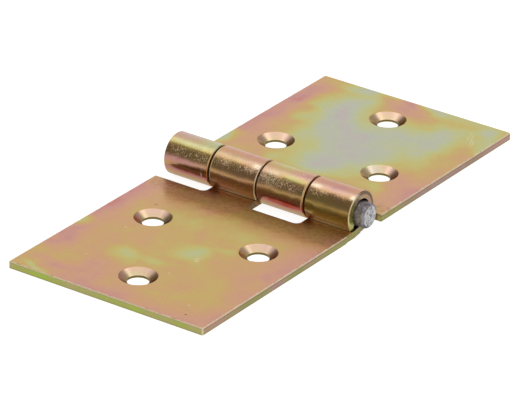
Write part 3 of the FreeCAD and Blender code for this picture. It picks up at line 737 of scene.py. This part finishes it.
def plated_steel(name, finish):
    """Yellow-passivated zinc plating on cold-rolled sheet: a satin metal whose thin film shows drifting pink,
    gold and green interference colours, with pale scuffs round the knuckles where the sheet was rolled, and
    sheared edges."""
    material, tree = new_material(name)
    at = lay_out(tree)
    tell_faces(tree, at)
    wear = wear_and_marks(tree, at, finish)
    wall_shade = painted_shade_on_walls(tree, at)
    film = add(tree, "ValToRGB", {"Fac": film_thickness(tree, at, finish)}, bands=FILM_COLOURS)
    # Of these layers, the countersink wall shade, the brown of cut faces inside holes and slots, the rim over
    # the barrel's ends, the dark by the slots and under the lips are painted shade; the pale far walls, the
    # grey crest and the pale edge lines and glints are painted highlights
    tint = painted(tree, film, [
        (wall_shade, PAINTED_SHADE_WALLS),
        (at.sheared, cut_tint(tree, at, finish)),
        (at.end_face, knuckle_end_tint(tree, at)),
        (painted_shade_on_barrel_rim(tree, at), PAINTED_SHADE_RIM),
        (wear.dulled, GREY_AND_PAINTED_HIGHLIGHT),
        (painted_light_on_far_walls(tree, at), PAINTED_LIGHT_FAR_WALL),
        (worn_and_highlit_places(tree, wear), BARE_ZINC_AND_HIGHLIGHT),
        (wear.stained, finish["stain"]),
        (dark_marks_and_shade(tree, at, wear), DARK_MARKS_AND_SHADE),
    ])
    shader = add(tree, "BsdfPrincipled", {
        "Base Color": tint,
        "Metallic": 1.0,
        "Roughness": plating_roughness(tree, at, wear),
        # The painted shade on the countersink walls tints their grazing reflection brown as well
        "Specular Tint": painted(tree, colour("#ffffff"), [(wall_shade, PAINTED_SHADE_GRAZING)]),
        "Normal": plating_relief(tree, at, wear),
    })
    add(tree, "OutputMaterial", {"Surface": shader})
    return material


# The pin: colours of the drawn side and of the torn end, and in millimetres the sizes of their patterns and
# the depth of the torn grain
DRAWN_TINTS = [(0.35, "#625c62"), (0.5, "#8b8488"), (0.65, "#b2aaac")]
TORN_TINTS = [(0.34, "#606066"), (0.46, "#b8b8ba"), (0.62, "#e0e0e2")]
MOTTLE_SIZE = 1.81818
GRAIN_SIZE = 0.769231
GRAIN_DEPTH = 0.30


def bare_wire(name):
    """Bare drawn steel wire, cropped cold: dull mauve-grey and mottled, with a coarse torn end."""
    material, tree = new_material(name)
    place = place_in_mm(tree)
    x, y, z = add(tree, "SeparateXYZ", {0: place}).outputs
    up = add(tree, "Math", {0: z, 1: PIN_HEIGHT}, operation="SUBTRACT")
    from_axis = add(tree, "CombineXYZ", {"Y": y, "Z": up})
    distance = add(tree, "VectorMath", {0: from_axis}, operation="LENGTH").outputs["Value"]
    last = add(tree, "MapRange", {"Value": x, "From Min": PIN_END - 0.12, "From Max": PIN_END - 0.04})
    flat = add(tree, "MapRange", {"Value": distance, "From Min": PIN_FLAT_RADIUS + 0.1,
                                  "From Max": PIN_FLAT_RADIUS - 0.15})
    grain = add(tree, "TexNoise", {"Vector": place, "Scale": 1 / GRAIN_SIZE, "Detail": 4.0, "Roughness": 0.7})
    mottle = add(tree, "TexNoise", {"Vector": place, "Scale": 1 / MOTTLE_SIZE, "Detail": 3.0,
                                    "Roughness": 0.6})
    drawn = add(tree, "ValToRGB", {"Fac": mottle}, bands=DRAWN_TINTS)
    torn = add(tree, "ValToRGB", {"Fac": grain}, bands=TORN_TINTS)
    shader = add(tree, "BsdfPrincipled", {
        "Base Color": painted(tree, drawn, [(overlap(tree, last, flat), torn)]),
        "Metallic": 0.9,
        "Roughness": 0.5,
        "Normal": add(tree, "Bump", {"Height": grain, "Strength": 1.0, "Distance": GRAIN_DEPTH * MM}),
    })
    add(tree, "OutputMaterial", {"Surface": shader})
    return material


def white_paper(name):
    """Matt white paper under the hinge. It reads as white to the eye, a little darker in the metal, and keeps
    a faint shadow."""
    seen_level = 0.88
    mirrored_level = 0.60
    material, tree = new_material(name)
    path = add(tree, "LightPath").outputs
    mirrored = add(tree, "Math", {0: path["Is Glossy Ray"], 1: path["Is Transmission Ray"]}, operation="ADD")
    seen = add(tree, "Math", {0: path["Is Camera Ray"], 1: seen_level}, operation="MULTIPLY")
    level = add(tree, "Math", {0: mirrored, 1: mirrored_level, 2: seen}, operation="MULTIPLY_ADD")
    glow = add(tree, "Emission", {"Color": colour("#ffffff"), "Strength": level})
    matt = add(tree, "BsdfDiffuse", {"Color": (0.3, 0.3, 0.3, 1)})
    add(tree, "OutputMaterial", {"Surface": add(tree, "AddShader", {0: glow, 1: matt})})
    return material


def make_floor():
    """A round sheet of paper just under the leaves, wide enough to fill the view. Its sizes are in metres."""
    radius = 3.0
    drop = 0.00005
    bpy.ops.mesh.primitive_circle_add(vertices=96, radius=radius, fill_type="NGON", location=(0, 0, -drop))
    floor = bpy.context.object
    floor.name = "floor"
    floor.data.materials.append(white_paper("white_paper"))


# Dim sides of the studio: name, direction, the angles round it in degrees up to which it is fully dim and
# past which it is gone, and its level. The first two give the knuckles their dark band, and the third shades
# what lies below that. The last two shade the right and the left walls of the countersinks.
DIM_SIDES = [
    ("front_band", (-0.51, -0.721, 0.468), 16, 31, 0.17),
    ("upper_front_band", (-0.51, -0.530, 0.678), 13, 24, 0.17),
    ("front_horizon", (-0.51, -0.850, 0.100), 10, 20, 0.70),
    ("left_side", (-0.93, 0.30, 0.20), 19, 30, 0.34),
    ("backdrop_side", (0.22, 0.85, 0.46), 16, 32, 0.50),
]


def make_world():
    """A white studio with dim sides, which the metal mirrors. The camera sees it white all round."""
    world = bpy.data.worlds.new("studio")
    bpy.context.scene.world = world
    world.use_nodes = True
    tree = world.node_tree
    tree.nodes.clear()
    direction = add(tree, "TexCoord").outputs["Generated"]
    level = 1.0
    for name, towards, full, faded, dim in DIM_SIDES:
        nearness = add(tree, "VectorMath", {0: direction, 1: Vector(towards).normalized()},
                       operation="DOT_PRODUCT", label=name).outputs["Value"]
        side = add(tree, "MapRange", {"Value": nearness, "From Min": math.cos(math.radians(faded)),
                                      "From Max": math.cos(math.radians(full)), "To Min": 1.0, "To Max": dim},
                   interpolation_type="SMOOTHSTEP")
        level = add(tree, "Math", {0: level, 1: side}, operation="MINIMUM")
    shown = union(tree, add(tree, "LightPath").outputs["Is Camera Ray"], level)
    studio = add(tree, "Background", {"Color": colour("#ffffff"), "Strength": shown})
    add(tree, "OutputWorld", {"Surface": studio})


def make_softbox():
    """One wide soft lamp overhead, square to the camera. It draws the pale strip along the top of the
    knuckles and lights the far walls of the countersinks. Its sizes are in metres."""
    width = 1.12
    depth = 0.37
    brightness = 0.50
    centre = (-0.154, 0.258, 0.80)
    lamp = bpy.data.lights.new("softbox", "AREA")
    lamp.shape = "RECTANGLE"
    lamp.size = width
    lamp.size_y = depth
    lamp.energy = 4 * brightness * width * depth
    softbox = bpy.data.objects.new("softbox", lamp)
    bpy.context.scene.collection.objects.link(softbox)
    softbox.location = centre
    softbox.rotation_euler = (0, 0, math.radians(CAMERA_AZIMUTH))


def make_camera():
    """The photograph's camera, from its direction, distance and roll."""
    azimuth, elevation, roll = (math.radians(a) for a in (CAMERA_AZIMUTH, CAMERA_ELEVATION, CAMERA_ROLL))
    level = math.cos(elevation)
    back = Vector((math.sin(azimuth) * level, -math.cos(azimuth) * level, math.sin(elevation)))
    right = Vector((0, 0, 1)).cross(back).normalized()
    up = back.cross(right)
    rolled_right = right * math.cos(roll) + up * math.sin(roll)
    rolled_up = up * math.cos(roll) - right * math.sin(roll)
    data = bpy.data.cameras.new("camera")
    data.lens = LENS
    data.sensor_width = SENSOR_WIDTH
    camera = bpy.data.objects.new("camera", data)
    bpy.context.scene.collection.objects.link(camera)
    turn = Matrix((rolled_right, rolled_up, back)).transposed().to_4x4()
    camera.matrix_world = Matrix.Translation(CAMERA_TARGET + back * CAMERA_DISTANCE) @ turn
    bpy.context.scene.camera = camera


def dress(node, material):
    """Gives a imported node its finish."""
    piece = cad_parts[node]
    piece.data.materials.clear()
    piece.data.materials.append(material)


make_camera()
make_world()
make_softbox()
make_floor()
dress("front_leaf", plated_steel("yellow_passivated_zinc_front", FRONT_FINISH))
dress("back_leaf", plated_steel("yellow_passivated_zinc_back", BACK_FINISH))
dress("hinge_pin", bare_wire("bare_drawn_wire"))
bpy.context.scene.view_settings.view_transform = "Standard"
